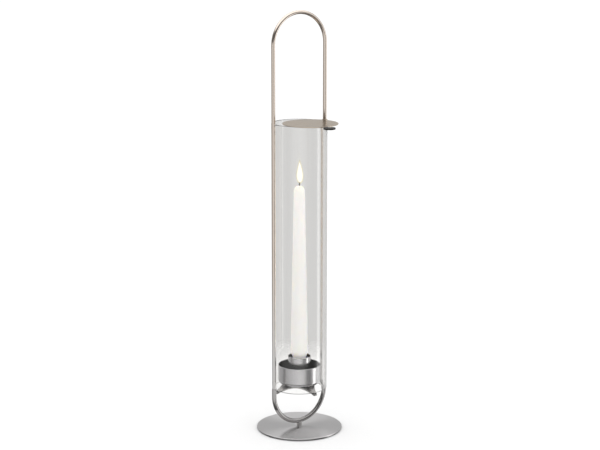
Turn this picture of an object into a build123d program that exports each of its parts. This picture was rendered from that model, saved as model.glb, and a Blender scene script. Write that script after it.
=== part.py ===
# Tall candle lantern: a two-piece hoop on a round foot carries a glass
# cylinder, a candle cup and a thin lid that swings about one bar of the hoop.
# Millimetres, +Z up, +X towards the bar that carries the lid.  The origin is
# the middle of the resting face, on the floor.
import os
from math import cos, radians, sin, tan

from build123d import *

os.makedirs("parts", exist_ok=True)

# ---- foot and hoop ---------------------------------------------------------
pad_thickness = 0.6
pad_diameter = 104.0
plate_diameter = 111.0
plate_thickness = 2.5
plate_edge_radius = 0.9

hoop_span = 79.0               # between the centres of the two bars
lower_rod_diameter = 6.0
upper_rod_diameter = 5.0
stem_gap = 3.8                 # foot plate to the underside of the hoop
stem_diameter = 6.6
lower_straight = 10.6          # upright part of the lower hoop above its bend
overall_height = 544.6
spigot_diameter = 4.0
spigot_length = 13.0
spigot_clearance = 0.05        # radial, a slide-in fit
spigot_end_room = 1.0          # left below each spigot

base_screw_diameter = 3.0
base_screw_length = 9.5
base_screw_head = 5.8
base_screw_head_height = 1.4
base_screw_key = 2.0           # across the flats of the hexagon socket

# ---- star, cup and candle holder -------------------------------------------
star_thickness = 1.5
star_above_seam = 2.6          # top of the star over the joint in the hoop
star_flat_radius = 17.5
star_bend_radius = 8.0         # outside of the bend where an arm turns down
star_arm_slope = 26.0          # degrees below the flat
star_arm_width = 7.8
star_waist_radius = 20.5       # from the axis to the hollow between two arms
star_tip_inset = 0.5           # shoulders of the tip inside the bars
star_tip_width = 5.6
star_toe_length = 5.5

cup_glass_gap = 5.6            # radial, glass slides down round the cup
cup_height = 24.4
cup_wall = 1.0
cup_corner_radius = 5.0
cup_screw_diameter = 4.0
cup_screw_head = 7.6
cup_screw_head_height = 2.2
cup_screw_key = 2.5
cup_nut_width = 7.0
cup_nut_height = 3.2
cup_screw_end = 1.2            # thread standing above the nut

tray_clearance = 0.35          # radial, tray in the cup
tray_thickness = 1.2
tray_depth = 0.6               # tray face below the cup rim
holder_candle_gap = 2.4        # radial, to the full width of the candle
holder_wall = 1.0
holder_rise = 11.0             # above the cup rim
holder_floor_thickness = 1.0
holder_floor_height = 12.9     # free height under the floor disc

spring_count = 3
spring_width = 6.0
spring_thickness = 0.4
spring_height = 17.0
spring_grip_clearance = 0.05   # leaf to candle
spring_wall_gap = 0.15         # leaf corners to the holder wall

candle_diameter = 22.8
candle_top_diameter = 14.4
candle_tip_diameter = 4.0
candle_length = 245.0
candle_foot_diameter = 17.2    # stepped foot that the springs grip
candle_foot_height = 20.0
candle_foot_cone = 5.5         # height of the cone from the foot to full width
candle_shoulder = 6.5
wick_diameter = 1.6
wick_showing = 5.6
wick_buried = 9.0
wick_lean = 1.2

# ---- glass and lid ---------------------------------------------------------
glass_bar_gap = 1.5            # glass to the bars beside it
glass_wall = 2.4
glass_length = 347.0
glass_edge_radius = 0.8
glass_seat_clearance = 0.3     # between the glass and the arms under it

lid_inset = 0.15               # lid edge inside the edge of the glass
lid_thickness = 0.8
lid_edge_radius = 0.25
lid_lift = 0.3                 # lid above the glass rim
lid_open_angle = 27.0          # how far the lid stands open
ear_width = 5.0
sleeve_diameter = 7.0
sleeve_length = 6.0
sleeve_clearance = 0.08        # radial, turns on the bar
sleeve_float = 0.2             # sleeve above its stop collar
collar_diameter = 7.2
collar_length = 4.0

tongue_width = 6.0
tongue_length = 10.85          # beyond the lid edge
tongue_angle = -119.5          # from the pivot direction, lid closed
grip_diameter = 15.4
grip_thickness = 2.3
grip_edge_radius = 0.8
grip_gap = 0.5                 # lid edge to grip
grip_drop = 0.6                # middle of the grip under the middle of the lid
rivet_diameter = 3.0
rivet_head = 4.6
rivet_head_height = 0.5

# ---- places that follow from the sizes -------------------------------------
bar_x = hoop_span / 2
plate_top = pad_thickness + plate_thickness
lower_bend_z = plate_top + stem_gap + lower_rod_diameter / 2 + bar_x
seam_z = lower_bend_z + lower_straight
arch_z = overall_height - upper_rod_diameter / 2 - bar_x

glass_outer = bar_x - upper_rod_diameter / 2 - glass_bar_gap
glass_inner = glass_outer - glass_wall
star_top = seam_z + star_above_seam
star_bottom = star_top - star_thickness
star_tip_radius = bar_x - lower_rod_diameter / 2 - star_tip_inset

cup_radius = glass_inner - cup_glass_gap
cup_floor = star_top + cup_wall
cup_rim = star_top + cup_height
tray_top = cup_rim - tray_depth
holder_inner = candle_diameter / 2 + holder_candle_gap
holder_outer = holder_inner + holder_wall
holder_top = cup_rim + holder_rise
candle_seat = cup_floor + holder_floor_height + holder_floor_thickness
candle_top = candle_seat + candle_length

star_slope = radians(star_arm_slope)
star_bend_end = star_flat_radius + star_bend_radius * sin(star_slope)


def arm_drop(radius):
    """How far the top of an arm lies below the flat, past the bend, at that radius."""
    return star_bend_radius * (1 - cos(star_slope)) + (radius - star_bend_end) * tan(star_slope)


seat_z = star_top - arm_drop(glass_inner)
glass_bottom = seat_z + glass_seat_clearance
glass_top = glass_bottom + glass_length
lid_radius = glass_outer - lid_inset
lid_bottom = glass_top + lid_lift
sleeve_bottom = lid_bottom - sleeve_length
collar_bottom = sleeve_bottom - sleeve_float - collar_length
tongue_reach = lid_radius + tongue_length
grip_middle = lid_bottom + lid_thickness / 2 - grip_drop
grip_reach = lid_radius + grip_gap + grip_diameter / 2

up = (Align.CENTER, Align.CENTER, Align.MIN)
down = (Align.CENTER, Align.CENTER, Align.MAX)

# The lid pieces are drawn closed in this plane, which stands swung open.
lid_plane = Plane(Pos(bar_x, 0, 0) * Rot(0, 0, lid_open_angle) * Pos(-bar_x, 0, 0))


def save(part, name):
    """Name a finished piece and write it as its own file."""
    part.label = name
    export_step(part, f"parts/{name}.step")


# ---- foot ------------------------------------------------------------------
# Anti-slip pad glued under the foot plate, over the head of the screw.
with BuildPart() as base_pad:
    Cylinder(pad_diameter / 2, pad_thickness, align=up)
save(base_pad.part, "base_pad")

# Round foot plate, edges rolled over, countersunk from below.
with BuildPart() as base_plate:
    with Locations((0, 0, pad_thickness)):
        Cylinder(plate_diameter / 2, plate_thickness, align=up)
    fillet(base_plate.edges().filter_by(GeomType.CIRCLE), plate_edge_radius)
    with Locations((0, 0, pad_thickness)):
        Cone(
            base_screw_head / 2,
            base_screw_diameter / 2,
            base_screw_head_height,
            align=up,
            mode=Mode.SUBTRACT,
        )
        Cylinder(base_screw_diameter / 2, plate_thickness, align=up, mode=Mode.SUBTRACT)
save(base_plate.part, "base_plate")

# Countersunk screw that draws foot, stem and hoop together.
with BuildPart() as base_screw:
    with Locations((0, 0, pad_thickness)):
        Cone(base_screw_head / 2, base_screw_diameter / 2, base_screw_head_height, align=up)
        Cylinder(base_screw_diameter / 2, base_screw_length, align=up)
    with BuildSketch(Plane.XY.offset(pad_thickness)):
        RegularPolygon(base_screw_key / 2, 6, major_radius=False)
    extrude(amount=base_screw_head_height, mode=Mode.SUBTRACT)
save(base_screw.part, "base_screw")

# Short stem, coped to the underside of the hoop and drilled for the screw.
with BuildPart() as stem:
    with Locations((0, 0, plate_top)):
        Cylinder(stem_diameter / 2, stem_gap + lower_rod_diameter / 3, align=up)
        Cylinder(base_screw_diameter / 2, base_screw_length, align=up, mode=Mode.SUBTRACT)
    with Locations((0, 0, lower_bend_z)):
        Torus(bar_x, lower_rod_diameter / 2, rotation=(90, 0, 0), mode=Mode.SUBTRACT)
save(stem.part, "stem")

# ---- lower hoop ------------------------------------------------------------
# Bent rod with a blind bore in each end that takes the upper hoop.
with BuildPart() as lower_hoop:
    with BuildLine(Plane.XZ) as lower_path:
        Line((-bar_x, seam_z), (-bar_x, lower_bend_z))
        ThreePointArc((-bar_x, lower_bend_z), (0, lower_bend_z - bar_x), (bar_x, lower_bend_z))
        Line((bar_x, lower_bend_z), (bar_x, seam_z))
    with BuildSketch(Plane((-bar_x, 0, seam_z), z_dir=(0, 0, -1))):
        Circle(lower_rod_diameter / 2)
    sweep(path=lower_path.wire())
    with Locations((-bar_x, 0, seam_z), (bar_x, 0, seam_z)):
        Cylinder(
            spigot_diameter / 2 + spigot_clearance,
            spigot_length + spigot_end_room,
            align=down,
            mode=Mode.SUBTRACT,
        )
    with Locations((0, 0, pad_thickness)):
        Cylinder(base_screw_diameter / 2, base_screw_length, align=up, mode=Mode.SUBTRACT)
save(lower_hoop.part, "lower_hoop")


# ---- star under the cup and the glass --------------------------------------
def quarter(x, y, turns):
    """The point (x, y) after that many quarter turns about the axis."""
    for _ in range(turns):
        x, y = -y, x
    return (x, y)


# Sheet star, flat in the middle, its four arms bent down.  Two arms are
# welded to the bars and the glass stands on all four.
with BuildPart() as spider:
    star_end = star_tip_radius + 2.0
    star_depth = arm_drop(star_end) + star_thickness
    with BuildSketch(Plane.XZ):
        with BuildLine():
            under_bend_radius = star_bend_radius - star_thickness
            top_bend = JernArc((star_flat_radius, star_top), (1, 0), star_bend_radius, -star_arm_slope)
            under_bend = JernArc((star_flat_radius, star_bottom), (1, 0), under_bend_radius, -star_arm_slope)
            Polyline(top_bend @ 0, (0, star_top), (0, star_bottom), under_bend @ 0)
            end_z = star_top - arm_drop(star_end)
            end_under = (
                star_end - star_thickness * sin(star_slope),
                end_z - star_thickness * cos(star_slope),
            )
            Polyline(top_bend @ 1, (star_end, end_z), end_under, under_bend @ 1)
        make_face()
    revolve(axis=Axis.Z)
    with BuildSketch(Plane.XY.offset(star_top)):
        with BuildLine():
            waist = star_waist_radius * cos(radians(45))
            arm = star_arm_width / 2
            toe = star_tip_width / 2
            knee = star_tip_radius - star_toe_length
            for turns in range(4):
                ThreePointArc(
                    quarter(star_tip_radius, -toe, turns),
                    quarter(star_tip_radius + 0.6, 0, turns),
                    quarter(star_tip_radius, toe, turns),
                )
                Spline(
                    quarter(star_tip_radius, toe, turns),
                    quarter(knee, arm, turns),
                    quarter(waist, waist, turns),
                    quarter(arm, knee, turns),
                    quarter(toe, star_tip_radius, turns),
                )
        make_face()
    extrude(amount=-star_depth, mode=Mode.INTERSECT)
    with Locations((-bar_x, 0, star_bottom), (bar_x, 0, star_bottom)):
        Cylinder(lower_rod_diameter / 2, 2 * star_depth, mode=Mode.SUBTRACT)
    with Locations((0, 0, star_bottom)):
        Cylinder(cup_screw_diameter / 2, star_thickness, align=up, mode=Mode.SUBTRACT)
save(spider.part, "spider")

# ---- candle cup ------------------------------------------------------------
# Drawn cup with a soft bottom corner, bolted through its floor.
with BuildPart() as cup:
    with BuildSketch(Plane.XZ):
        with BuildLine():
            half = cup_radius
            corner = cup_corner_radius
            Polyline(
                (cup_screw_diameter / 2, cup_floor),
                (cup_screw_diameter / 2, star_top),
                (half - corner, star_top),
            )
            RadiusArc((half - corner, star_top), (half, star_top + corner), -corner)
            Line((half, star_top + corner), (half, cup_rim))
            Line((half, cup_rim), (half - cup_wall, cup_rim))
            Line((half - cup_wall, cup_rim), (half - cup_wall, star_top + corner))
            RadiusArc(
                (half - cup_wall, star_top + corner),
                (half - corner, cup_floor),
                corner - cup_wall,
            )
            Line((half - corner, cup_floor), (cup_screw_diameter / 2, cup_floor))
        make_face()
    revolve(axis=Axis.Z)
    fillet(cup.edges().group_by(Axis.Z)[-1], cup_wall * 0.4)
save(cup.part, "cup")

# Button-head screw up through star and cup.
with BuildPart() as cup_screw:
    with Locations((0, 0, star_bottom)):
        Cylinder(cup_screw_head / 2, cup_screw_head_height, align=down)
    fillet(cup_screw.edges().sort_by(Axis.Z)[0], cup_screw_head_height * 0.6)
    with Locations((0, 0, star_bottom)):
        Cylinder(
            cup_screw_diameter / 2,
            cup_floor - star_bottom + cup_nut_height + cup_screw_end,
            align=up,
        )
    with BuildSketch(Plane.XY.offset(star_bottom - cup_screw_head_height)):
        RegularPolygon(cup_screw_key / 2, 6, major_radius=False)
    extrude(amount=cup_screw_head_height * 0.6, mode=Mode.SUBTRACT)
save(cup_screw.part, "cup_screw")

# Hexagon nut on the cup floor.
with BuildPart() as cup_nut:
    with BuildSketch(Plane.XY.offset(cup_floor)):
        RegularPolygon(cup_nut_width / 2, 6, major_radius=False)
        Circle(cup_screw_diameter / 2, mode=Mode.SUBTRACT)
    extrude(amount=cup_nut_height)
save(cup_nut.part, "cup_nut")

# ---- candle holder insert --------------------------------------------------
# Tube that stands on the cup floor and takes the candle.
with BuildPart() as candle_holder:
    with BuildSketch(Plane.XY.offset(cup_floor)):
        Circle(holder_outer)
        Circle(holder_inner, mode=Mode.SUBTRACT)
    extrude(amount=holder_top - cup_floor)
    fillet(candle_holder.edges().group_by(Axis.Z)[-1], holder_wall * 0.4)
save(candle_holder.part, "candle_holder")

# Disc pressed into the tube, the floor the candle stands on.
with BuildPart() as holder_floor:
    with Locations((0, 0, candle_seat)):
        Cylinder(holder_inner, holder_floor_thickness, align=down)
save(holder_floor.part, "holder_floor")

# Black drip tray round the tube, just under the cup rim.
with BuildPart() as drip_tray:
    with BuildSketch(Plane.XY.offset(tray_top)):
        Circle(cup_radius - cup_wall - tray_clearance)
        Circle(holder_outer, mode=Mode.SUBTRACT)
    extrude(amount=-tray_thickness)
save(drip_tray.part, "drip_tray")

# Bowed leaves that hold the foot of the candle in the middle of the tube.
with BuildPart() as holder_springs:
    wall = holder_inner - spring_wall_gap
    leaf_back = (wall**2 - (spring_width / 2) ** 2) ** 0.5
    leaf_bow = candle_foot_diameter / 2 + spring_grip_clearance + spring_thickness
    with BuildSketch(Plane.XZ.offset(-spring_width / 2)):
        with BuildLine():
            low = (leaf_back, candle_seat)
            middle = (leaf_bow, candle_seat + spring_height / 2)
            high = (leaf_back, candle_seat + spring_height)
            back = ThreePointArc(low, middle, high)
            face = ThreePointArc(
                (low[0] - spring_thickness, low[1]),
                (middle[0] - spring_thickness, middle[1]),
                (high[0] - spring_thickness, high[1]),
            )
            Line(back @ 0, face @ 0)
            Line(back @ 1, face @ 1)
        make_face()
    extrude(amount=spring_width)
    leaf = holder_springs.part
    for turn in range(1, spring_count):
        add(leaf.rotate(Axis.Z, 360 / spring_count * turn))
save(holder_springs.part, "holder_springs")

# ---- candle ----------------------------------------------------------------
# Tapered dinner candle with a domed shoulder and a narrower foot.
with BuildPart() as candle:
    with BuildSketch(Plane.XZ):
        with BuildLine():
            shoulder_z = candle_top - candle_shoulder
            foot_z = candle_seat + candle_foot_height
            Polyline(
                (0, candle_top),
                (0, candle_seat),
                (candle_foot_diameter / 2, candle_seat),
                (candle_foot_diameter / 2, foot_z),
                (candle_diameter / 2, foot_z + candle_foot_cone),
                (candle_top_diameter / 2, shoulder_z),
            )
            Spline(
                (candle_top_diameter / 2, shoulder_z),
                (candle_tip_diameter / 2, candle_top - 0.5),
                (0, candle_top),
                tangents=((0, 1), (-1, 0)),
            )
        make_face()
    revolve(axis=Axis.Z)
    with Locations((0, 0, candle_top)):
        Cylinder(wick_diameter / 2, wick_buried, align=down, mode=Mode.SUBTRACT)
save(candle.part, "candle")

# Burnt wick, leaning a little at its end.
with BuildPart() as wick:
    with BuildLine() as wick_path:
        Line((0, 0, candle_top - wick_buried), (0, 0, candle_top))
        Spline(
            (0, 0, candle_top),
            (wick_lean * 0.3, 0, candle_top + wick_showing * 0.6),
            (wick_lean, 0, candle_top + wick_showing),
            tangents=((0, 0, 1), (1, 0, 1.4)),
        )
    with BuildSketch(Plane.XY.offset(candle_top - wick_buried)):
        Circle(wick_diameter / 2)
    sweep(path=wick_path.wire())
save(wick.part, "wick")

# ---- glass cylinder --------------------------------------------------------
# Open tube, both rims fire-polished round.
with BuildPart() as glass_cylinder:
    with BuildSketch(Plane.XY.offset(glass_bottom)):
        Circle(glass_outer)
        Circle(glass_inner, mode=Mode.SUBTRACT)
    extrude(amount=glass_length)
    fillet(glass_cylinder.edges().filter_by(GeomType.CIRCLE), glass_edge_radius)
save(glass_cylinder.part, "glass_cylinder")

# ---- upper hoop ------------------------------------------------------------
# Bent rod, the carrying handle, turned down at both ends to plug in.
with BuildPart() as upper_hoop:
    with BuildLine(Plane.XZ) as upper_path:
        Line((-bar_x, seam_z), (-bar_x, arch_z))
        ThreePointArc((-bar_x, arch_z), (0, arch_z + bar_x), (bar_x, arch_z))
        Line((bar_x, arch_z), (bar_x, seam_z))
    with BuildSketch(Plane.XY.offset(seam_z)):
        with Locations((-bar_x, 0)):
            Circle(upper_rod_diameter / 2)
    sweep(path=upper_path.wire())
    with Locations((-bar_x, 0, seam_z), (bar_x, 0, seam_z)):
        Cylinder(spigot_diameter / 2, spigot_length, align=down)
    chamfer(upper_hoop.edges().group_by(Axis.Z)[0], spigot_diameter * 0.1)
save(upper_hoop.part, "upper_hoop")

# Collar the lid sleeve rests on, brazed to the bar.
with BuildPart() as stop_collar:
    with Locations((bar_x, 0, collar_bottom)):
        Cylinder(collar_diameter / 2, collar_length, align=up)
        Cylinder(upper_rod_diameter / 2, collar_length, align=up, mode=Mode.SUBTRACT)
save(stop_collar.part, "stop_collar")

# ---- lid -------------------------------------------------------------------
# Thin disc with an ear for the sleeve and a tongue for the grip.
with BuildPart() as lid_plate:
    with BuildSketch(lid_plane.offset(lid_bottom)):
        Circle(lid_radius)
        Rectangle(bar_x, ear_width, align=(Align.MIN, Align.CENTER))
        with Locations((bar_x, 0)):
            Circle(sleeve_diameter / 2)
        with Locations(Rot(0, 0, tongue_angle)):
            Rectangle(tongue_reach, tongue_width, align=(Align.MIN, Align.CENTER))
        with Locations((bar_x, 0)):
            Circle(upper_rod_diameter / 2 + sleeve_clearance, mode=Mode.SUBTRACT)
        with Locations(Rot(0, 0, tongue_angle) * Pos(grip_reach, 0)):
            Circle(rivet_diameter / 2, mode=Mode.SUBTRACT)
    extrude(amount=lid_thickness)
    fillet(lid_plate.edges().group_by(SortBy.LENGTH)[-1], lid_edge_radius)
save(lid_plate.part, "lid_plate")

# Short tube welded under the ear, the bearing of the lid on the bar.
with BuildPart() as lid_sleeve:
    with BuildSketch(Plane.XY.offset(sleeve_bottom)):
        with Locations((bar_x, 0)):
            Circle(sleeve_diameter / 2)
            Circle(upper_rod_diameter / 2 + sleeve_clearance, mode=Mode.SUBTRACT)
    extrude(amount=sleeve_length)
save(lid_sleeve.part, "lid_sleeve")

# Black heat-proof button on the tongue, so the hot lid can be swung by hand.
with BuildPart() as lid_grip:
    with BuildSketch(lid_plane.offset(grip_middle - grip_thickness / 2)):
        with Locations(Rot(0, 0, tongue_angle) * Pos(grip_reach, 0)):
            Circle(grip_diameter / 2)
            Circle(rivet_diameter / 2, mode=Mode.SUBTRACT)
    extrude(amount=grip_thickness)
    rims = lid_grip.edges().filter_by(GeomType.CIRCLE).group_by(SortBy.LENGTH)[-1]
    fillet(rims, grip_edge_radius)
    with BuildSketch(lid_plane.offset(lid_bottom)):
        with Locations(Rot(0, 0, tongue_angle)):
            Rectangle(tongue_reach, tongue_width, align=(Align.MIN, Align.CENTER))
    extrude(amount=lid_thickness, mode=Mode.SUBTRACT)
save(lid_grip.part, "lid_grip")

# Rivet through grip and tongue.
with BuildPart() as grip_rivet:
    with BuildSketch(lid_plane.offset(grip_middle)):
        with Locations(Rot(0, 0, tongue_angle) * Pos(grip_reach, 0)):
            Circle(rivet_diameter / 2)
    extrude(amount=grip_thickness / 2, both=True)
    for side in (-1, 1):
        with BuildSketch(lid_plane.offset(grip_middle + side * grip_thickness / 2)):
            with Locations(Rot(0, 0, tongue_angle) * Pos(grip_reach, 0)):
                Circle(rivet_head / 2)
        extrude(amount=side * rivet_head_height)
save(grip_rivet.part, "grip_rivet")
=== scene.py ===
# Tall candle lantern: a hoop of round steel bar on a foot plate holds a glass
# cylinder over a candle cup, with a thin steel lid that swings about one bar.
# Metres, +Z up, with the origin in the middle of the resting face.
import math

import bpy
import numpy as np
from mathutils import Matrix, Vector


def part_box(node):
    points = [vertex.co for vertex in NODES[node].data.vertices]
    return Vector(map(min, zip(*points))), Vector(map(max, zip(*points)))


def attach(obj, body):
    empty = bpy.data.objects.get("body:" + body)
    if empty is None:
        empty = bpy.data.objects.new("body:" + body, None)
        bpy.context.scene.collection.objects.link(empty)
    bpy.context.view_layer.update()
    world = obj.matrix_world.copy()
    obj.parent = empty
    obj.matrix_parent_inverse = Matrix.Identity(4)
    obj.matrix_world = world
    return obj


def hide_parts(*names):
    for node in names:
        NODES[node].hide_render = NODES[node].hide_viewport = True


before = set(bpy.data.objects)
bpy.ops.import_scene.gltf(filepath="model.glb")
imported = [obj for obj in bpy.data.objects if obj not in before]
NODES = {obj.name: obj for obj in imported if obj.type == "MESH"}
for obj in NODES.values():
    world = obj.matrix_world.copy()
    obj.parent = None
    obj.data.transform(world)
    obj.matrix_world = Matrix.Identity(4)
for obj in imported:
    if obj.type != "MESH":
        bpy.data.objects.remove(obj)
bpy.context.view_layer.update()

MM = 0.001
TURN = 2 * math.pi

# ---- foot ------------------------------------------------------------------
# A turned plate of stainless steel, faced on a lathe and brushed in circles,
# with rolled edges.  It stands on a grey foam pad that is glued underneath and
# hides the countersunk screw.


def linear(code):
    """An sRGB hex colour as linear red, green, blue and an alpha of one."""
    parts = [int(code[i : i + 2], 16) / 255 for i in (1, 3, 5)]
    return (*[c / 12.92 if c <= 0.04045 else ((c + 0.055) / 1.055) ** 2.4 for c in parts], 1.0)


def add(tree, kind, inputs=None, **settings):
    """Adds a node, sets its settings, and sets or links its inputs by name or number."""
    made = tree.nodes.new(kind)
    for name, value in settings.items():
        setattr(made, name, value)
    for name, value in (inputs or {}).items():
        if isinstance(value, bpy.types.NodeSocket):
            tree.links.new(value, made.inputs[name])
        else:
            made.inputs[name].default_value = value
    return made


def start_material(name):
    """A new material with an output and nothing else, and its node tree."""
    material = bpy.data.materials.new(name)
    material.use_nodes = True
    material.node_tree.nodes.clear()
    return material, material.node_tree


def end_material(tree, shader):
    """Joins the finished shader to the output."""
    add(tree, "ShaderNodeOutputMaterial", {"Surface": shader.outputs[0]})


def blend_colours(tree, low, high, share):
    """A colour between two hex colours, by a share from 0 to 1."""
    mixed = add(tree, "ShaderNodeMix", {"Factor": share}, data_type="RGBA")
    mixed.inputs[6].default_value = linear(low)
    mixed.inputs[7].default_value = linear(high)
    return mixed.outputs[2]


def spread(tree, value, low, high):
    """A 0 to 1 value stretched to run from low to high."""
    ranged = add(tree, "ShaderNodeMapRange", {"Value": value, "To Min": low, "To Max": high})
    return ranged.outputs[0]


def share_between(tree, value, start, end, **settings):
    """How far a value has come from start to end, as a share from 0 to 1."""
    ranged = add(tree, "ShaderNodeMapRange", {"Value": value, "From Min": start, "From Max": end}, **settings)
    return ranged.outputs[0]


def place_in(tree):
    """The piece's own coordinates, in metres."""
    return add(tree, "ShaderNodeTexCoord").outputs["Object"]


def height_in(tree):
    """Height in the piece's own coordinates, in metres."""
    return add(tree, "ShaderNodeSeparateXYZ", {0: place_in(tree)}).outputs[2]


def cloud(tree, size, detail=3.0):
    """Soft even noise from 0 to 1, with spots about as wide as size."""
    sockets = {"Vector": place_in(tree), "Scale": 1 / size, "Detail": detail}
    return add(tree, "ShaderNodeTexNoise", sockets).outputs[0]


def relief(tree, height, strength, depth):
    """The normal of a surface that rises with height, by up to depth."""
    return add(tree, "ShaderNodeBump", {"Height": height, "Strength": strength, "Distance": depth}).outputs[0]


def coat(tree, sockets):
    """A plain principled surface with these inputs, joined to the output."""
    end_material(tree, add(tree, "ShaderNodeBsdfPrincipled", sockets))


def round_grain(tree, pitch, round_share):
    """Noise drawn out in circles about Z: fine across the radius and the height, long round the axis."""
    parts = add(tree, "ShaderNodeSeparateXYZ", {0: place_in(tree)})
    flat = add(tree, "ShaderNodeCombineXYZ", {"X": parts.outputs[0], "Y": parts.outputs[1]}).outputs[0]
    radius = add(tree, "ShaderNodeVectorMath", {0: flat}, operation="LENGTH").outputs["Value"]
    heading = add(tree, "ShaderNodeVectorMath", {0: flat}, operation="NORMALIZE").outputs[0]
    rise = add(tree, "ShaderNodeMath", {0: radius, 1: parts.outputs[2]}, operation="ADD").outputs[0]
    lift = add(tree, "ShaderNodeMath", {0: rise, 1: 1 / pitch}, operation="MULTIPLY").outputs[0]
    turn = add(tree, "ShaderNodeVectorMath", {0: heading, "Scale": round_share}, operation="SCALE").outputs[0]
    both = add(tree, "ShaderNodeSeparateXYZ", {0: turn})
    where = add(tree, "ShaderNodeCombineXYZ", {"X": both.outputs[0], "Y": both.outputs[1], "Z": lift})
    noise = add(tree, "ShaderNodeTexNoise", {"Vector": where.outputs[0], "Scale": 1.0, "Detail": 4.0})
    return noise.outputs[0]


def brushed_steel(name, dark, light, rough, stretch, grain):
    """Brushed stainless steel: a metal whose colour, gloss and height follow the grain of the brush.

    grain gives the pattern, the tangent that the highlight is stretched along, and how far that is
    turned, as a share of a turn."""
    material, tree = start_material(name)
    pattern, tangent, twist = grain(tree)
    rough_change = 0.04
    coat(
        tree,
        {
            "Base Color": blend_colours(tree, dark, light, pattern),
            "Metallic": 1.0,
            "Roughness": spread(tree, pattern, rough - rough_change, rough + rough_change),
            "Normal": relief(tree, pattern, 0.05, 0.01 * MM),
            "Anisotropic": stretch,
            "Anisotropic Rotation": twist,
            "Tangent": tangent,
        },
    )
    return material


def turned_grain(tree):
    """Circles left by a lathe or a rotating brush, 0.35 mm apart so that they show."""
    quarter_turn = 0.25
    tangent = add(tree, "ShaderNodeTangent", direction_type="RADIAL", axis="Z").outputs[0]
    return round_grain(tree, 0.35 * MM, 3.0), tangent, quarter_turn


def tint_by_height(material, low_z, high_z, low, high):
    """Multiplies a metal's colour by one that goes from low to high between two heights."""
    tree = material.node_tree
    metal = next(n for n in tree.nodes if n.type == "BSDF_PRINCIPLED")
    share = share_between(tree, height_in(tree), low_z, high_z)
    both = add(tree, "ShaderNodeMix", {"Factor": 1.0}, data_type="RGBA", blend_type="MULTIPLY")
    tree.links.new(metal.inputs["Base Color"].links[0].from_socket, both.inputs[6])
    tree.links.new(blend_colours(tree, low, high, share), both.inputs[7])
    tree.links.new(both.outputs[2], metal.inputs["Base Color"])


def dress(name, material):
    """Gives a CAD node its material."""
    for slot in NODES[name].material_slots:
        slot.material = material


def skin(name, rings, start=None, end=None):
    """A closed surface over rings[i, j]: i runs along the piece and j round it.

    start and end are the middle points that close it; without them the last ring joins the first.
    The UV map holds metres along the piece and the share of a turn round it."""
    count, round_count = rings.shape[:2]
    points = rings.reshape(-1, 3)
    loop = start is None
    rows = np.arange(count if loop else count - 1)
    i, j = np.meshgrid(rows, np.arange(round_count), indexing="ij")
    after_i, after_j = (i + 1) % count, (j + 1) % round_count
    quads = np.stack(
        [
            i * round_count + j,
            i * round_count + after_j,
            after_i * round_count + after_j,
            after_i * round_count + j,
        ],
        axis=-1,
    ).reshape(-1, 4)
    step = np.linalg.norm(np.diff(rings[:, 0], axis=0), axis=1)
    along = np.concatenate([[0.0], np.cumsum(step)])
    closing = along[-1] + np.linalg.norm(rings[0, 0] - rings[-1, 0])
    ends = np.append(along, closing)
    corner_u = np.stack([ends[i], ends[i], ends[i + 1], ends[i + 1]], axis=-1)
    corner_v = np.stack([j, j + 1, j + 1, j], axis=-1) / round_count
    uv = np.stack([corner_u, corner_v], axis=-1).reshape(-1, 2)
    faces = quads.tolist()
    if not loop:
        points = np.vstack([points, start, end])
        first, last = len(points) - 2, len(points) - 1
        k = np.arange(round_count)
        after = (k + 1) % round_count
        base = (count - 1) * round_count
        faces += np.stack([np.full_like(k, first), after, k], axis=-1).tolist()
        faces += np.stack([np.full_like(k, last), base + k, base + after], axis=-1).tolist()
        fan_v = np.stack([k + 0.5, k + 1, k], axis=-1) / round_count
        reach = [np.linalg.norm(rings[0, 0] - start), np.linalg.norm(rings[-1, 0] - end)]
        low_u = np.stack([k * 0 - reach[0], k * 0.0, k * 0.0], axis=-1)
        high_u = np.stack([k * 0 + along[-1] + reach[1], k * 0 + along[-1], k * 0 + along[-1]], axis=-1)
        fan_top = np.stack([k + 0.5, k, k + 1], axis=-1) / round_count
        low_cap = np.stack([low_u, fan_v], -1).reshape(-1, 2)
        high_cap = np.stack([high_u, fan_top], -1).reshape(-1, 2)
        uv = np.vstack([uv, low_cap, high_cap])
    mesh = bpy.data.meshes.new(name)
    mesh.from_pydata(points.tolist(), [], faces)
    mesh.uv_layers.new(name="along").data.foreach_set("uv", uv.astype(np.float32).ravel())
    mesh.polygons.foreach_set("use_smooth", np.ones(len(mesh.polygons), bool))
    mesh.update()
    made = bpy.data.objects.new(name, mesh)
    bpy.context.scene.collection.objects.link(made)
    return made


def arc(middle_r, middle_z, radius, from_deg, to_deg, count=8):
    """Points of an arc in the (radius, height) plane."""
    angle = np.radians(np.linspace(from_deg, to_deg, count))
    return np.stack([middle_r + radius * np.cos(angle), middle_z + radius * np.sin(angle)], axis=-1)


def turned(name, profile, round_count=192, closed=False, middle=(0.0, 0.0)):
    """A profile of (radius, height) points carried round a vertical axis; the profile runs from the
    bottom outwards, up, and back, and ends on the axis unless it is closed on itself."""
    angle = np.arange(round_count) / round_count * TURN
    radius, height = profile[:, :1], profile[:, 1:]
    rings = np.stack(
        [
            middle[0] + radius * np.cos(angle),
            middle[1] + radius * np.sin(angle),
            height + 0 * angle,
        ],
        axis=-1,
    )
    if closed:
        return skin(name, rings)
    return skin(name, rings, (*middle, profile[0, 1]), (*middle, profile[-1, 1]))


def finish_piece(piece, material, body, slot, *nodes):
    """Gives a new piece its material and its body, and hides the CAD nodes that it stands for. slot is not
    used.
    """
    piece.data.materials.append(material)
    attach(piece, body)
    if nodes:
        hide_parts(*nodes)


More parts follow.
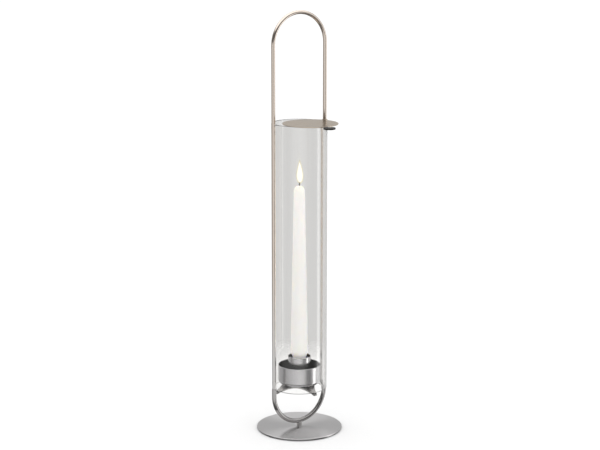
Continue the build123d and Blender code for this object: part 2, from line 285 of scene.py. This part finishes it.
plate_low, plate_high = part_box("base_plate")
plate_edge = 0.9 * MM
plate_bore = 1.6 * MM
plate_radius = plate_high.x
plate_profile = np.vstack(
    [
        [(plate_bore, plate_low.z), (plate_radius - 2 * plate_edge, plate_low.z)],
        arc(plate_radius - plate_edge, plate_low.z + plate_edge, plate_edge, -90, 0),
        arc(plate_radius - plate_edge, plate_high.z - plate_edge, plate_edge, 0, 90),
        [(plate_radius - 2 * plate_edge, plate_high.z), (20 * MM, plate_high.z), (plate_bore, plate_high.z)],
    ]
)
foot_plate = turned("foot_plate", plate_profile, 256)

# The grooves round the axis draw the light out into soft fans from the middle.
# The rolled edge turns dark towards the floor: painted shade, standing in for the shaded floor that it
# mirrors.
foot_steel = brushed_steel(
    "stainless steel, turned and brushed", "#C8C6C6", "#D4D3D3", 0.32, 0.84, turned_grain
)
tint_by_height(foot_steel, 0.6 * MM, 2.3 * MM, "#6A6868", "#FFFFFF")
finish_piece(foot_plate, foot_steel, "stand", "brushed_foot", "base_plate")

# Closed-cell foam, die cut: dull grey with fine open pores.
foam, foam_tree = start_material("grey foam, die cut")
foam_cells = add(
    foam_tree, "ShaderNodeTexVoronoi", {"Vector": place_in(foam_tree), "Scale": 1 / (0.8 * MM)}
).outputs["Distance"]
coat(
    foam_tree,
    {
        "Base Color": blend_colours(foam_tree, "#4A4A49", "#6B6A68", foam_cells),
        "Roughness": 0.9,
        "Normal": relief(foam_tree, foam_cells, 0.5, 0.1 * MM),
    },
)
dress("base_pad", foam)

# Zinc plated machine screws: a cool, slightly cloudy metal.
zinc, zinc_tree = start_material("steel, zinc plated")
zinc_cloud = cloud(zinc_tree, 1.5 * MM)
coat(
    zinc_tree,
    {
        "Base Color": blend_colours(zinc_tree, "#A6A9AC", "#C4C6C8", zinc_cloud),
        "Metallic": 1.0,
        "Roughness": spread(zinc_tree, zinc_cloud, 0.28, 0.45),
    },
)
dress("base_screw", zinc)

# ---- hoop, lower half, and its stem ----------------------------------------
# 6 mm round stainless bar bent into a U and polished along its length by a
# belt, welded to a short turned stem that the screw pulls onto the foot.


def bar_grain(tree):
    """Fine rings round the bar, from a belt running round it: the highlight is drawn out along the bar."""
    place = add(tree, "ShaderNodeUVMap", uv_map="along").outputs[0]
    scaled = add(tree, "ShaderNodeMapping", {"Vector": place, "Scale": (1 / (0.3 * MM), 4.0, 1.0)})
    noise = add(tree, "ShaderNodeTexNoise", {"Vector": scaled.outputs[0], "Scale": 1.0, "Detail": 4.0})
    tangent = add(tree, "ShaderNodeTangent", direction_type="UV_MAP", uv_map="along").outputs[0]
    return noise.outputs[0], tangent, 0.0


def rod(name, path, radius, edge, round_count=40):
    """A round bar along a path in the XZ plane: a ring stands square to each point of the path,
    and the two ends are closed by a rounded edge and a flat face."""
    path = np.asarray(path)
    heading = np.gradient(path, axis=0)
    heading /= np.linalg.norm(heading, axis=1)[:, None]
    edge_steps = 6
    turn = np.radians(np.linspace(0, 90, edge_steps))
    shrink = radius - edge + edge * np.sin(turn)
    inset = edge * (1 - np.cos(turn))
    head = path[0] + heading[0] * inset[:, None]
    tail = path[-1] - heading[-1] * inset[::-1, None]
    centres = np.vstack([head, path[1:-1], tail])
    headings = np.repeat(heading, [edge_steps] + [1] * (len(path) - 2) + [edge_steps], axis=0)
    widths = np.concatenate([shrink, np.full(len(path) - 2, radius), shrink[::-1]])
    across = np.array([0.0, 1.0, 0.0])
    outward = np.cross(across, headings)
    angle = np.arange(round_count) / round_count * TURN
    rings = centres[:, None] + widths[:, None, None] * (
        outward[:, None] * np.cos(angle)[:, None] + across * np.sin(angle)[:, None]
    )
    return skin(name, rings, path[0], path[-1])


def u_path(half_span, bend_z, end_z, up, straight_step=2 * MM, bend_count=72):
    """Down one side, round a half circle and up the other, in the XZ plane; up is 1 for an arch
    over the bend and -1 for a U under it."""
    angle = np.radians(np.linspace(180, 0, bend_count))
    bend = np.stack([half_span * np.cos(angle), 0 * angle, bend_z + up * half_span * np.sin(angle)], axis=-1)
    heights = np.linspace(end_z, bend_z, max(3, int(abs(bend_z - end_z) / straight_step)))[:-1]
    side = np.stack([0 * heights - half_span, 0 * heights, heights], axis=-1)
    return np.vstack([side, bend, side[::-1] * (-1, 1, 1)])


lower_low, lower_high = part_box("lower_hoop")
lower_radius = 3.0 * MM
bar_x = lower_high.x - lower_radius
lower_bend_z = lower_low.z + lower_radius + bar_x
lower_bar = rod("lower_hoop_bar", u_path(bar_x, lower_bend_z, lower_high.z, -1), lower_radius, 0.3 * MM)

# Polished enough to show light and dark lines along the bar.  Painted shade makes it darker than
# the upper bar, and a little darker still towards the bottom of the bend.
bar_steel = brushed_steel("stainless steel bar, belt polished", "#BEBCBB", "#CCCAC9", 0.12, 0.2, bar_grain)
tint_by_height(bar_steel, 8 * MM, 55 * MM, "#C4C3C3", "#FFFFFF")
finish_piece(lower_bar, bar_steel, "stand", "brushed_rod", "lower_hoop")

# Small turned parts.
small_steel = brushed_steel(
    "stainless steel, turned small parts", "#BDBBBA", "#CECCCA", 0.22, 0.5, turned_grain
)
dress("stem", small_steel)

# ---- star ------------------------------------------------------------------
# Four arms laser cut from 1.5 mm sheet and pressed down at the ends, held
# between the bars.  The sheet keeps its straight mill grain.


def sheet_grain(tree):
    """Straight mill grain along X, 0.4 mm apart."""
    scale = (1 / (20 * MM), 1 / (0.4 * MM), 1 / (0.4 * MM))
    scaled = add(tree, "ShaderNodeMapping", {"Vector": place_in(tree), "Scale": scale})
    noise = add(tree, "ShaderNodeTexNoise", {"Vector": scaled.outputs[0], "Scale": 1.0, "Detail": 4.0})
    tangent = add(tree, "ShaderNodeTangent", direction_type="RADIAL", axis="Z").outputs[0]
    return noise.outputs[0], tangent, 0.0


# The sheet's rolling grain runs one way across all the arms.
star_steel = brushed_steel("stainless sheet, mill grain", "#A9A7A6", "#BFBDBB", 0.34, 0.2, sheet_grain)
dress("spider", star_steel)

# ---- cup -------------------------------------------------------------------
# Deep drawn stainless cup, brushed round its wall while it spins, and screwed
# down through its floor onto the star.  The brushing runs round it, so the wall
# shows upright bands of light and dark.
cup_steel = brushed_steel("stainless cup, spun and brushed", "#CBCACC", "#D9D8DA", 0.17, 0.6, turned_grain)
dress("cup", cup_steel)
dress("cup_screw", zinc)
dress("cup_nut", zinc)

# ---- drip tray -------------------------------------------------------------
# Steel ring with matt black stove enamel, which catches the wax: a deep black
# with a dull sheen and a slight orange peel.
enamel, enamel_tree = start_material("black stove enamel")
enamel_peel = cloud(enamel_tree, 1.2 * MM, 2.0)
coat(
    enamel_tree,
    {
        "Base Color": blend_colours(enamel_tree, "#080707", "#0E0D0D", enamel_peel),
        "Roughness": spread(enamel_tree, enamel_peel, 0.72, 0.85),
        "Specular IOR Level": 0.03,
        "Normal": relief(enamel_tree, enamel_peel, 0.2, 0.05 * MM),
    },
)
dress("drip_tray", enamel)

# ---- candle holder ---------------------------------------------------------
# Length of stainless tube, brushed like the cup, with a floor disc pressed in
# and three blue tempered leaf springs that grip the candle.


def steel_with_painted_shade_inside(name, outside, middle_radius):
    """The steel of outside beyond middle_radius from the axis, and black within it: painted shade for the dark
    gap round the candle's foot.
    """
    material = outside.copy()
    material.name = name
    tree = material.node_tree
    steel = next(n for n in tree.nodes if n.type == "BSDF_PRINCIPLED")
    output = next(n for n in tree.nodes if n.type == "OUTPUT_MATERIAL")
    flat_only = {0: place_in(tree), 1: (1.0, 1.0, 0.0)}
    flat = add(tree, "ShaderNodeVectorMath", flat_only, operation="MULTIPLY").outputs[0]
    radius = add(tree, "ShaderNodeVectorMath", {0: flat}, operation="LENGTH").outputs["Value"]
    inside = add(tree, "ShaderNodeMath", {0: radius, 1: middle_radius}, operation="LESS_THAN").outputs[0]
    black = blend_colours(tree, "#060505", "#15110E", cloud(tree, 2 * MM))
    painted_shade = add(
        tree, "ShaderNodeBsdfPrincipled", {"Base Color": black, "Roughness": 0.8, "Specular IOR Level": 0.1}
    )
    mixed = add(tree, "ShaderNodeMixShader", {0: inside, 1: steel.outputs[0], 2: painted_shade.outputs[0]})
    tree.links.new(mixed.outputs[0], output.inputs["Surface"])
    return material


holder_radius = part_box("candle_holder")[1].x
# Inside the tube the steel is painted black: painted shade in the gap round the candle's foot.
holder_steel = steel_with_painted_shade_inside("stainless tube, brushed, painted shade inside", cup_steel, holder_radius - 0.6 * MM)
dress("candle_holder", holder_steel)
dress("holder_floor", small_steel)

# Dark blue-grey, with uneven patches.
spring_metal, spring_tree = start_material("spring steel, tempered")
spring_cloud = cloud(spring_tree, 4 * MM)
coat(
    spring_tree,
    {
        "Base Color": blend_colours(spring_tree, "#4B4D55", "#6A6A6E", spring_cloud),
        "Metallic": 1.0,
        "Roughness": spread(spring_tree, spring_cloud, 0.3, 0.45),
    },
)
dress("holder_springs", spring_metal)

# ---- candle ----------------------------------------------------------------
# Tapered candle of white stearin, dipped: slightly uneven along its length,
# with a rounded shoulder, a shallow pool of melted wax at the wick, and a
# narrower foot that the springs grip.
candle_low, candle_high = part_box("candle")
candle_radius = 11.4 * MM
candle_top_radius = 7.2 * MM
candle_shoulder = 9.0 * MM
foot_radius = 8.6 * MM
foot_height = 20 * MM
foot_cone = 5.5 * MM
foot_edge = 0.5 * MM
pool_radius = 1.6 * MM
pool_depth = 0.4 * MM

shoulder_z = candle_high.z - candle_shoulder
foot_z = candle_low.z + foot_height
cone_z = foot_z + foot_cone
wall_z = np.linspace(cone_z + 0.6 * MM, shoulder_z, 120)
wall_r = np.linspace(candle_radius - 0.05 * MM, candle_top_radius, 120)
lean = np.radians(np.linspace(0, 90, 24))[1:]
shoulder_r = pool_radius + (candle_top_radius - pool_radius) * np.cos(lean)
shoulder_h = shoulder_z + candle_shoulder * np.sin(lean)
pool_share = np.linspace(1, 0.4, 5)[1:]
candle_profile = np.vstack(
    [
        [(4 * MM, candle_low.z), (foot_radius - foot_edge, candle_low.z)],
        [(foot_radius, candle_low.z + foot_edge)],
        [(foot_radius, foot_z - foot_edge), (foot_radius + 0.2 * MM, foot_z + 0.4 * MM)],
        [(candle_radius - 0.3 * MM, cone_z - 0.5 * MM)],
        np.stack([wall_r, wall_z], axis=-1),
        np.stack([shoulder_r, shoulder_h], axis=-1),
        np.stack([pool_radius * pool_share, candle_high.z - pool_depth * (1 - pool_share**2)], axis=-1),
    ]
)
candle_skin = turned("dipped_candle", candle_profile, 128)
candle_points = np.empty(len(candle_skin.data.vertices) * 3)
candle_skin.data.vertices.foreach_get("co", candle_points)
candle_points = candle_points.reshape(-1, 3)
heading = np.arctan2(candle_points[:, 1], candle_points[:, 0])
wave = np.sin(2 * heading + 70 * candle_points[:, 2]) * np.sin(113 * candle_points[:, 2])
above_foot = candle_points[:, 2] > cone_z
dip_share = 0.006
candle_points[:, :2] *= (1 - dip_share * (1 + wave) * above_foot)[:, None]
candle_skin.data.vertices.foreach_set("co", candle_points.ravel())
candle_skin.data.update()

# Stearin wax: milky, with a faint cloudy bloom on the skin.  A painted glow, for the flame's
# light going down inside it, makes it glow a little, most of all near the top.
wax, wax_tree = start_material("white stearin wax, dipped")
wax_cloud = cloud(wax_tree, 9 * MM, 4.0)
wax_painted_glow = share_between(wax_tree, height_in(wax_tree), candle_high.z - 120 * MM, candle_high.z)
coat(
    wax_tree,
    {
        "Base Color": blend_colours(wax_tree, "#FAF9F5", "#FEFDFB", wax_cloud),
        "Roughness": spread(wax_tree, wax_cloud, 0.35, 0.5),
        "IOR": 1.44,
        "Subsurface Weight": 0.6,
        "Subsurface Radius": (1.0, 0.75, 0.5),
        "Subsurface Scale": 4 * MM,
        "Emission Color": linear("#FFF4E4"),
        "Emission Strength": spread(wax_tree, wax_painted_glow, 0.05, 0.13),
        "Normal": relief(wax_tree, wax_cloud, 0.15, 0.3 * MM),
    },
)
finish_piece(candle_skin, wax, "taper", "candle_wax", "candle")

# Plaited cotton wick, burnt black where it stands out of the wax, and bent a
# little by its own burning.
wick_low, wick_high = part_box("wick")
wick_radius = 0.8 * MM
wick_reach = wick_high.x - wick_radius
wick_rise = wick_high.z - candle_high.z
wick_share = np.linspace(0, 1, 40)
wick_z = wick_low.z + (wick_high.z - wick_low.z) * wick_share
wick_bend = np.clip((wick_z - candle_high.z + pool_depth) / (wick_rise + pool_depth), 0, 1)
wick_middle = np.stack([wick_reach * wick_bend**2, 0 * wick_z, wick_z], axis=-1)
wick_angle = np.arange(36) / 36 * TURN
plait = 1 - 0.12 * (1 + np.cos(3 * (wick_angle + 2.6e3 * wick_z[:, None])))
wick_width = wick_radius * plait * np.where(wick_share > 0.95, 0.7, 1.0)[:, None]
wick_rings = np.stack(
    [
        wick_middle[:, :1] + wick_width * np.cos(wick_angle),
        wick_width * np.sin(wick_angle),
        wick_middle[:, 2:] + 0 * wick_angle,
    ],
    axis=-1,
)
wick_skin = skin("plaited_wick", wick_rings, wick_middle[0], wick_middle[-1])
cotton, cotton_tree = start_material("cotton wick, charred")
cotton_burn = share_between(
    cotton_tree, height_in(cotton_tree), candle_high.z - 0.4 * MM, candle_high.z + 1.2 * MM
)
cotton_fibre = cloud(cotton_tree, 0.3 * MM)
cotton_mixed = add(cotton_tree, "ShaderNodeMix", {"Factor": cotton_burn}, data_type="RGBA")
cotton_tree.links.new(blend_colours(cotton_tree, "#B9AE9A", "#E5DCCB", cotton_fibre), cotton_mixed.inputs[6])
cotton_tree.links.new(blend_colours(cotton_tree, "#050403", "#1C1713", cotton_fibre), cotton_mixed.inputs[7])
coat(cotton_tree, {"Base Color": cotton_mixed.outputs[2], "Roughness": 0.9})
finish_piece(wick_skin, cotton, "taper", "wick_cotton", "wick")

# ---- flame -----------------------------------------------------------------
# A still candle flame of burning wax vapour: a pale yellow mantle round a
# brighter, whiter core that starts on the wick.
flame_bottom = wick_high.z - 3.5 * MM
flame_height = 31 * MM
flame_width = 4.6 * MM


def flame_shape(name, bottom, height, width):
    """A drop: its radius grows as a sine from the bottom, is widest a third of the way up, and
    narrows to a point; it leans a little with the wick."""
    share = np.linspace(0, 1, 60)[1:-1]
    radius = width * np.sin(math.pi * share**0.62) ** 0.9
    z = bottom + height * share
    drift = wick_reach * (1 - 0.6 * share)
    angle = np.arange(64) / 64 * TURN
    rings = np.stack(
        [
            drift[:, None] + radius[:, None] * np.cos(angle),
            radius[:, None] * np.sin(angle),
            z[:, None] + 0 * angle,
        ],
        axis=-1,
    )
    return skin(name, rings, (wick_reach, 0, bottom), (0.4 * wick_reach, 0, bottom + height))


def glow(name, low, high, strength, cover):
    """Burning gas: light that goes from one colour at the wick to another at the tip, over a share
    of clear gas that lets the rest through."""
    material, tree = start_material(name)
    rise = share_between(tree, height_in(tree), flame_bottom, flame_bottom + flame_height)
    colour = blend_colours(tree, low, high, rise)
    light = add(tree, "ShaderNodeEmission", {"Color": colour, "Strength": strength})
    clear = add(tree, "ShaderNodeBsdfTransparent")
    end_material(tree, add(tree, "ShaderNodeMixShader", {0: cover, 1: clear.outputs[0], 2: light.outputs[0]}))
    return material


mantle = flame_shape("flame_mantle", flame_bottom, flame_height, flame_width)
mantle_gas = glow("burning gas, outer mantle", "#F3E9C0", "#F4EBC6", 1.0, 0.5)
finish_piece(mantle, mantle_gas, "taper", "candle_wax")
core = flame_shape("flame_core", flame_bottom + 1.5 * MM, flame_height - 5 * MM, flame_width - 1.0 * MM)
core_gas = glow("burning gas, bright core", "#FFFEFA", "#FFFFFE", 1.6, 0.97)
finish_piece(core, core_gas, "taper", "candle_wax")

# ---- glass -----------------------------------------------------------------
# Drawn borosilicate tube, cut to length and fire polished at both rims: clear,
# with faint draw lines along it.
glass_low, glass_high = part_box("glass_cylinder")
glass_outer = glass_high.x
glass_wall = 2.4 * MM
rim_round = 0.8 * MM
glass_inner = glass_outer - glass_wall
glass_heights = np.linspace(glass_low.z + rim_round, glass_high.z - rim_round, 24)[1:-1]
glass_profile = np.vstack(
    [
        arc(glass_outer - rim_round, glass_low.z + rim_round, rim_round, -90, 0),
        np.stack([0 * glass_heights + glass_outer, glass_heights], axis=-1),
        arc(glass_outer - rim_round, glass_high.z - rim_round, rim_round, 0, 90),
        arc(glass_inner + rim_round, glass_high.z - rim_round, rim_round, 90, 180),
        np.stack([0 * glass_heights + glass_inner, glass_heights[::-1]], axis=-1),
        arc(glass_inner + rim_round, glass_low.z + rim_round, rim_round, 180, 270),
    ]
)
tube = turned("glass_tube", glass_profile, 256, closed=True)

# Clear and colourless; light on its way to the pieces inside goes straight
# through, so they aren't left in shade.
glass, glass_tree = start_material("borosilicate glass, drawn tube")
draw_place = add(glass_tree, "ShaderNodeMapping", {"Vector": place_in(glass_tree), "Scale": (1.0, 1.0, 0.01)})
draw_lines = add(
    glass_tree, "ShaderNodeTexNoise", {"Vector": draw_place.outputs[0], "Scale": 1 / (5 * MM), "Detail": 1.0}
).outputs[0]
clear_glass = add(
    glass_tree,
    "ShaderNodeBsdfPrincipled",
    {
        "Base Color": blend_colours(glass_tree, "#F7F6F5", "#FBFBFA", draw_lines),
        "Roughness": 0.0,
        "IOR": 1.47,
        "Transmission Weight": 1.0,
        "Normal": relief(glass_tree, draw_lines, 0.1, 0.004 * MM),
    },
)
lamp_way = add(glass_tree, "ShaderNodeLightPath").outputs["Is Shadow Ray"]
lamp_clear = add(glass_tree, "ShaderNodeBsdfTransparent", {"Color": linear("#FBFBFA")})
end_material(
    glass_tree,
    add(glass_tree, "ShaderNodeMixShader", {0: lamp_way, 1: clear_glass.outputs[0], 2: lamp_clear.outputs[0]}),
)
finish_piece(tube, glass, "glass", "clear_glass", "glass_cylinder")

# ---- hoop, upper half, and its collar --------------------------------------
# 5 mm bar bent into the handle.  Its ends are turned down to spigots that slide
# into the lower hoop, and a collar on one bar carries the lid.
upper_low, upper_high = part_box("upper_hoop")
upper_radius = 2.5 * MM
spigot_radius = 2.0 * MM
upper_arch_z = upper_high.z - upper_radius - bar_x
upper_path = u_path(bar_x, upper_arch_z, lower_high.z, 1, 4 * MM)
upper_bar = rod("upper_hoop_bar", upper_path, upper_radius, 0.25 * MM)

# Painted light makes it paler than the lower bar, and a faint painted warm light from the flame tints its
# upper part.
handle_steel = brushed_steel(
    "stainless steel bar, painted warm flame light", "#E0DEDC", "#EEECEA", 0.13, 0.35, bar_grain
)
tint_by_height(handle_steel, 100 * MM, 220 * MM, "#FFFFFF", "#FFF3E8")
finish_piece(upper_bar, handle_steel, "handle", "brushed_rod")
spigot_edge = 0.4 * MM
spigot_profile = np.array(
    [
        (0.5 * MM, upper_low.z),
        (spigot_radius - spigot_edge, upper_low.z),
        (spigot_radius, upper_low.z + spigot_edge),
        (spigot_radius, lower_high.z + 0.2 * MM),
    ]
)
for side, label in ((-1, "left"), (1, "right")):
    spigot = turned(f"spigot_{label}", spigot_profile, 32, middle=(side * bar_x, 0.0))
    finish_piece(spigot, small_steel, "handle", "brushed_rod")
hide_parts("upper_hoop")
dress("stop_collar", small_steel)

# ---- lid -------------------------------------------------------------------
# Thin stainless disc with an ear and a tongue in one piece, welded to a sleeve
# that turns on the bar.  It is straight brushed; its colour, warmer than the cup, is a painted
# reflection of a warm backdrop.
lid_steel = brushed_steel("stainless lid, straight brushed, painted warm reflection", "#C3B39F", "#D0C1AE", 0.27, 0.3, sheet_grain)
dress("lid_plate", lid_steel)
dress("lid_sleeve", small_steel)
dress("grip_rivet", small_steel)

# Moulded black phenolic knob that stays cool to the hand: satin, almost even.
phenolic, phenolic_tree = start_material("black phenolic, moulded")
phenolic_fine = cloud(phenolic_tree, 0.6 * MM)
coat(
    phenolic_tree,
    {
        "Base Color": blend_colours(phenolic_tree, "#15110E", "#231D19", phenolic_fine),
        "Roughness": spread(phenolic_tree, phenolic_fine, 0.38, 0.5),
        "Normal": relief(phenolic_tree, phenolic_fine, 0.15, 0.05 * MM),
    },
)
dress("lid_grip", phenolic)

# ---- studio ----------------------------------------------------------------
# A plain pale floor under an even white dome.  What the steel and the glass
# mirror is a studio of its own: grey walls with dark flags to the left and the
# right, a narrow strip light on the right, a bright ceiling, and darkness low
# down.  Bearings count from the side of the object that the camera is on.
camera_bearing = -34.96
camera_pitch = 12.04
smooth = {"interpolation_type": "SMOOTHSTEP"}

floor_half = 12.0
floor_corners = [(x * floor_half, y * floor_half, 0.0) for x, y in ((-1, -1), (1, -1), (1, 1), (-1, 1))]
floor_mesh = bpy.data.meshes.new("floor")
floor_mesh.from_pydata(floor_corners, [], [(0, 1, 2, 3)])
floor = bpy.data.objects.new("floor", floor_mesh)
bpy.context.scene.collection.objects.link(floor)

# Dull white paper.  Through the glass it is seen only close to the foot; past
# that, and in what the steel mirrors, the studio's own walls take its place.
paper, paper_tree = start_material("white paper sweep")
paper_skin = add(
    paper_tree,
    "ShaderNodeBsdfPrincipled",
    {
        "Base Color": blend_colours(paper_tree, "#F3F3F3", "#F6F6F6", cloud(paper_tree, 1.5 * MM)),
        "Roughness": 1.0,
        "Specular IOR Level": 0.0,
    },
)
paper_reach = add(
    paper_tree, "ShaderNodeVectorMath", {0: place_in(paper_tree)}, operation="LENGTH"
).outputs["Value"]
paper_far = share_between(paper_tree, paper_reach, 300 * MM, 420 * MM)
paper_rays = add(paper_tree, "ShaderNodeLightPath")
paper_mirrored = add(
    paper_tree,
    "ShaderNodeMath",
    {0: paper_rays.outputs["Glossy Depth"], 1: paper_far},
    operation="MAXIMUM",
    use_clamp=True,
).outputs[0]
paper_gone = add(
    paper_tree,
    "ShaderNodeMath",
    {0: paper_mirrored, 1: paper_rays.outputs["Is Transmission Ray"]},
    operation="MULTIPLY",
).outputs[0]
paper_clear = add(paper_tree, "ShaderNodeBsdfTransparent").outputs[0]
end_material(
    paper_tree,
    add(paper_tree, "ShaderNodeMixShader", {0: paper_gone, 1: paper_skin.outputs[0], 2: paper_clear}),
)
floor_mesh.materials.append(paper)
floor.visible_glossy = False

world = bpy.data.worlds.new("studio")
bpy.context.scene.world = world
world.use_nodes = True
sky = world.node_tree
sky.nodes.clear()
way = add(sky, "ShaderNodeTexCoord").outputs["Generated"]
facing = add(sky, "ShaderNodeMapping", {"Vector": way, "Rotation": (0, 0, math.radians(90 - camera_bearing))})
bearing = add(sky, "ShaderNodeTexGradient", {"Vector": facing.outputs[0]}, gradient_type="RADIAL").outputs[1]
height = add(sky, "ShaderNodeSeparateXYZ", {0: way}).outputs[2]


def band(*stops):
    """Brightness by bearing: pairs of degrees, counted to the camera's right, and brightness."""
    made = add(sky, "ShaderNodeValToRGB", {0: bearing})
    ramp = made.color_ramp
    while len(ramp.elements) > 1:
        ramp.elements.remove(ramp.elements[-1])
    for place, (degrees, value) in enumerate(stops):
        position = 0.5 + degrees / 360
        stop = ramp.elements[0] if place == 0 else ramp.elements.new(position)
        stop.position = position
        stop.color = (value, value, value, 1)
    return made.outputs[0]


def layered(share, first, second):
    """One brightness that gives way to another as the share goes from 0 to 1."""
    mixed = add(sky, "ShaderNodeMix", {"Factor": share}, data_type="RGBA")
    for number, value in ((6, first), (7, second)):
        if isinstance(value, bpy.types.NodeSocket):
            sky.links.new(value, mixed.inputs[number])
        else:
            mixed.inputs[number].default_value = (value, value, value, 1)
    return mixed.outputs[2]


brightest = 1.4
glass_gain = 1.16
left_wall = [(-180, 0.46), (-150, 0.42), (-107, 0.33), (-96, 0.24)]
left_flag = [(-90, 0.08), (-84, 0.12), (-76, 0.34), (-39, 0.48)]
front_to_flag = [(5, 0.62), (27, 0.48), (42, 0.2), (62, 0.17), (74, 0.4)]
strip_light = [(81, 0.85), (85, 1.8), (91, 1.8), (96, 0.85)]
right_wall = [(108, 0.5), (150, 0.42), (180, 0.46)]
below = band(*left_wall, *left_flag, *front_to_flag, *strip_light, *right_wall)
upper_left = [(-180, 0.4), (-130, 0.3), (-90, 0.12), (-60, 0.08), (0, 0.08)]
upper_right = [(60, 0.08), (82, 0.7), (100, 0.7), (125, 0.3), (180, 0.4)]
above = band(*upper_left, *upper_right)

walls = layered(share_between(sky, height, -0.05, 0.1, **smooth), below, above)
roofed = layered(share_between(sky, height, 0.45, 0.7, **smooth), walls, 1.0)
room = layered(share_between(sky, height, -0.4, -0.65, **smooth), roofed, 0.1)

rays = add(sky, "ShaderNodeLightPath")
strength = spread(sky, rays.outputs["Is Transmission Ray"], brightest, glass_gain * brightest)
studio = add(sky, "ShaderNodeBackground", {"Color": room, "Strength": strength})
dome = add(sky, "ShaderNodeBackground", {"Color": linear("#FFFFFF"), "Strength": 1.18})
shiny = add(
    sky,
    "ShaderNodeMath",
    {0: rays.outputs["Is Glossy Ray"], 1: rays.outputs["Is Transmission Ray"]},
    operation="MAXIMUM",
).outputs[0]
direct = add(
    sky, "ShaderNodeMath", {0: rays.outputs["Diffuse Depth"], 1: 0.5}, operation="LESS_THAN"
).outputs[0]
mirrored = add(sky, "ShaderNodeMath", {0: shiny, 1: direct}, operation="MULTIPLY").outputs[0]
both_skies = add(sky, "ShaderNodeMixShader", {0: mirrored, 1: dome.outputs[0], 2: studio.outputs[0]})
add(sky, "ShaderNodeOutputWorld", {"Surface": both_skies.outputs[0]})

# The flame's own light on the wax and the wick.
flame_light = bpy.data.lights.new("flame_light", "POINT")
flame_light.energy = 0.01
flame_light.color = linear("#FFC890")[:3]
flame_light.shadow_soft_size = 8 * MM
flame_lamp = bpy.data.objects.new("flame_light", flame_light)
flame_lamp.location = (0.5 * wick_reach, 0, flame_bottom + 0.4 * flame_height)
flame_lamp.visible_camera = False
flame_lamp.visible_transmission = False
flame_lamp.visible_glossy = False
bpy.context.scene.collection.objects.link(flame_lamp)

bpy.context.scene.view_settings.view_transform = "Standard"

camera_data = bpy.data.cameras.new("camera")
camera_data.sensor_width = 36.0
camera_data.lens = 100.25
camera = bpy.data.objects.new("camera", camera_data)
camera.location = (-1.1955, -1.7114, 0.7165)
camera.rotation_euler = (math.radians(90 - camera_pitch), 0, math.radians(camera_bearing))
camera_data.clip_start, camera_data.clip_end = 0.05, 60
bpy.context.scene.collection.objects.link(camera)
bpy.context.scene.camera = camera
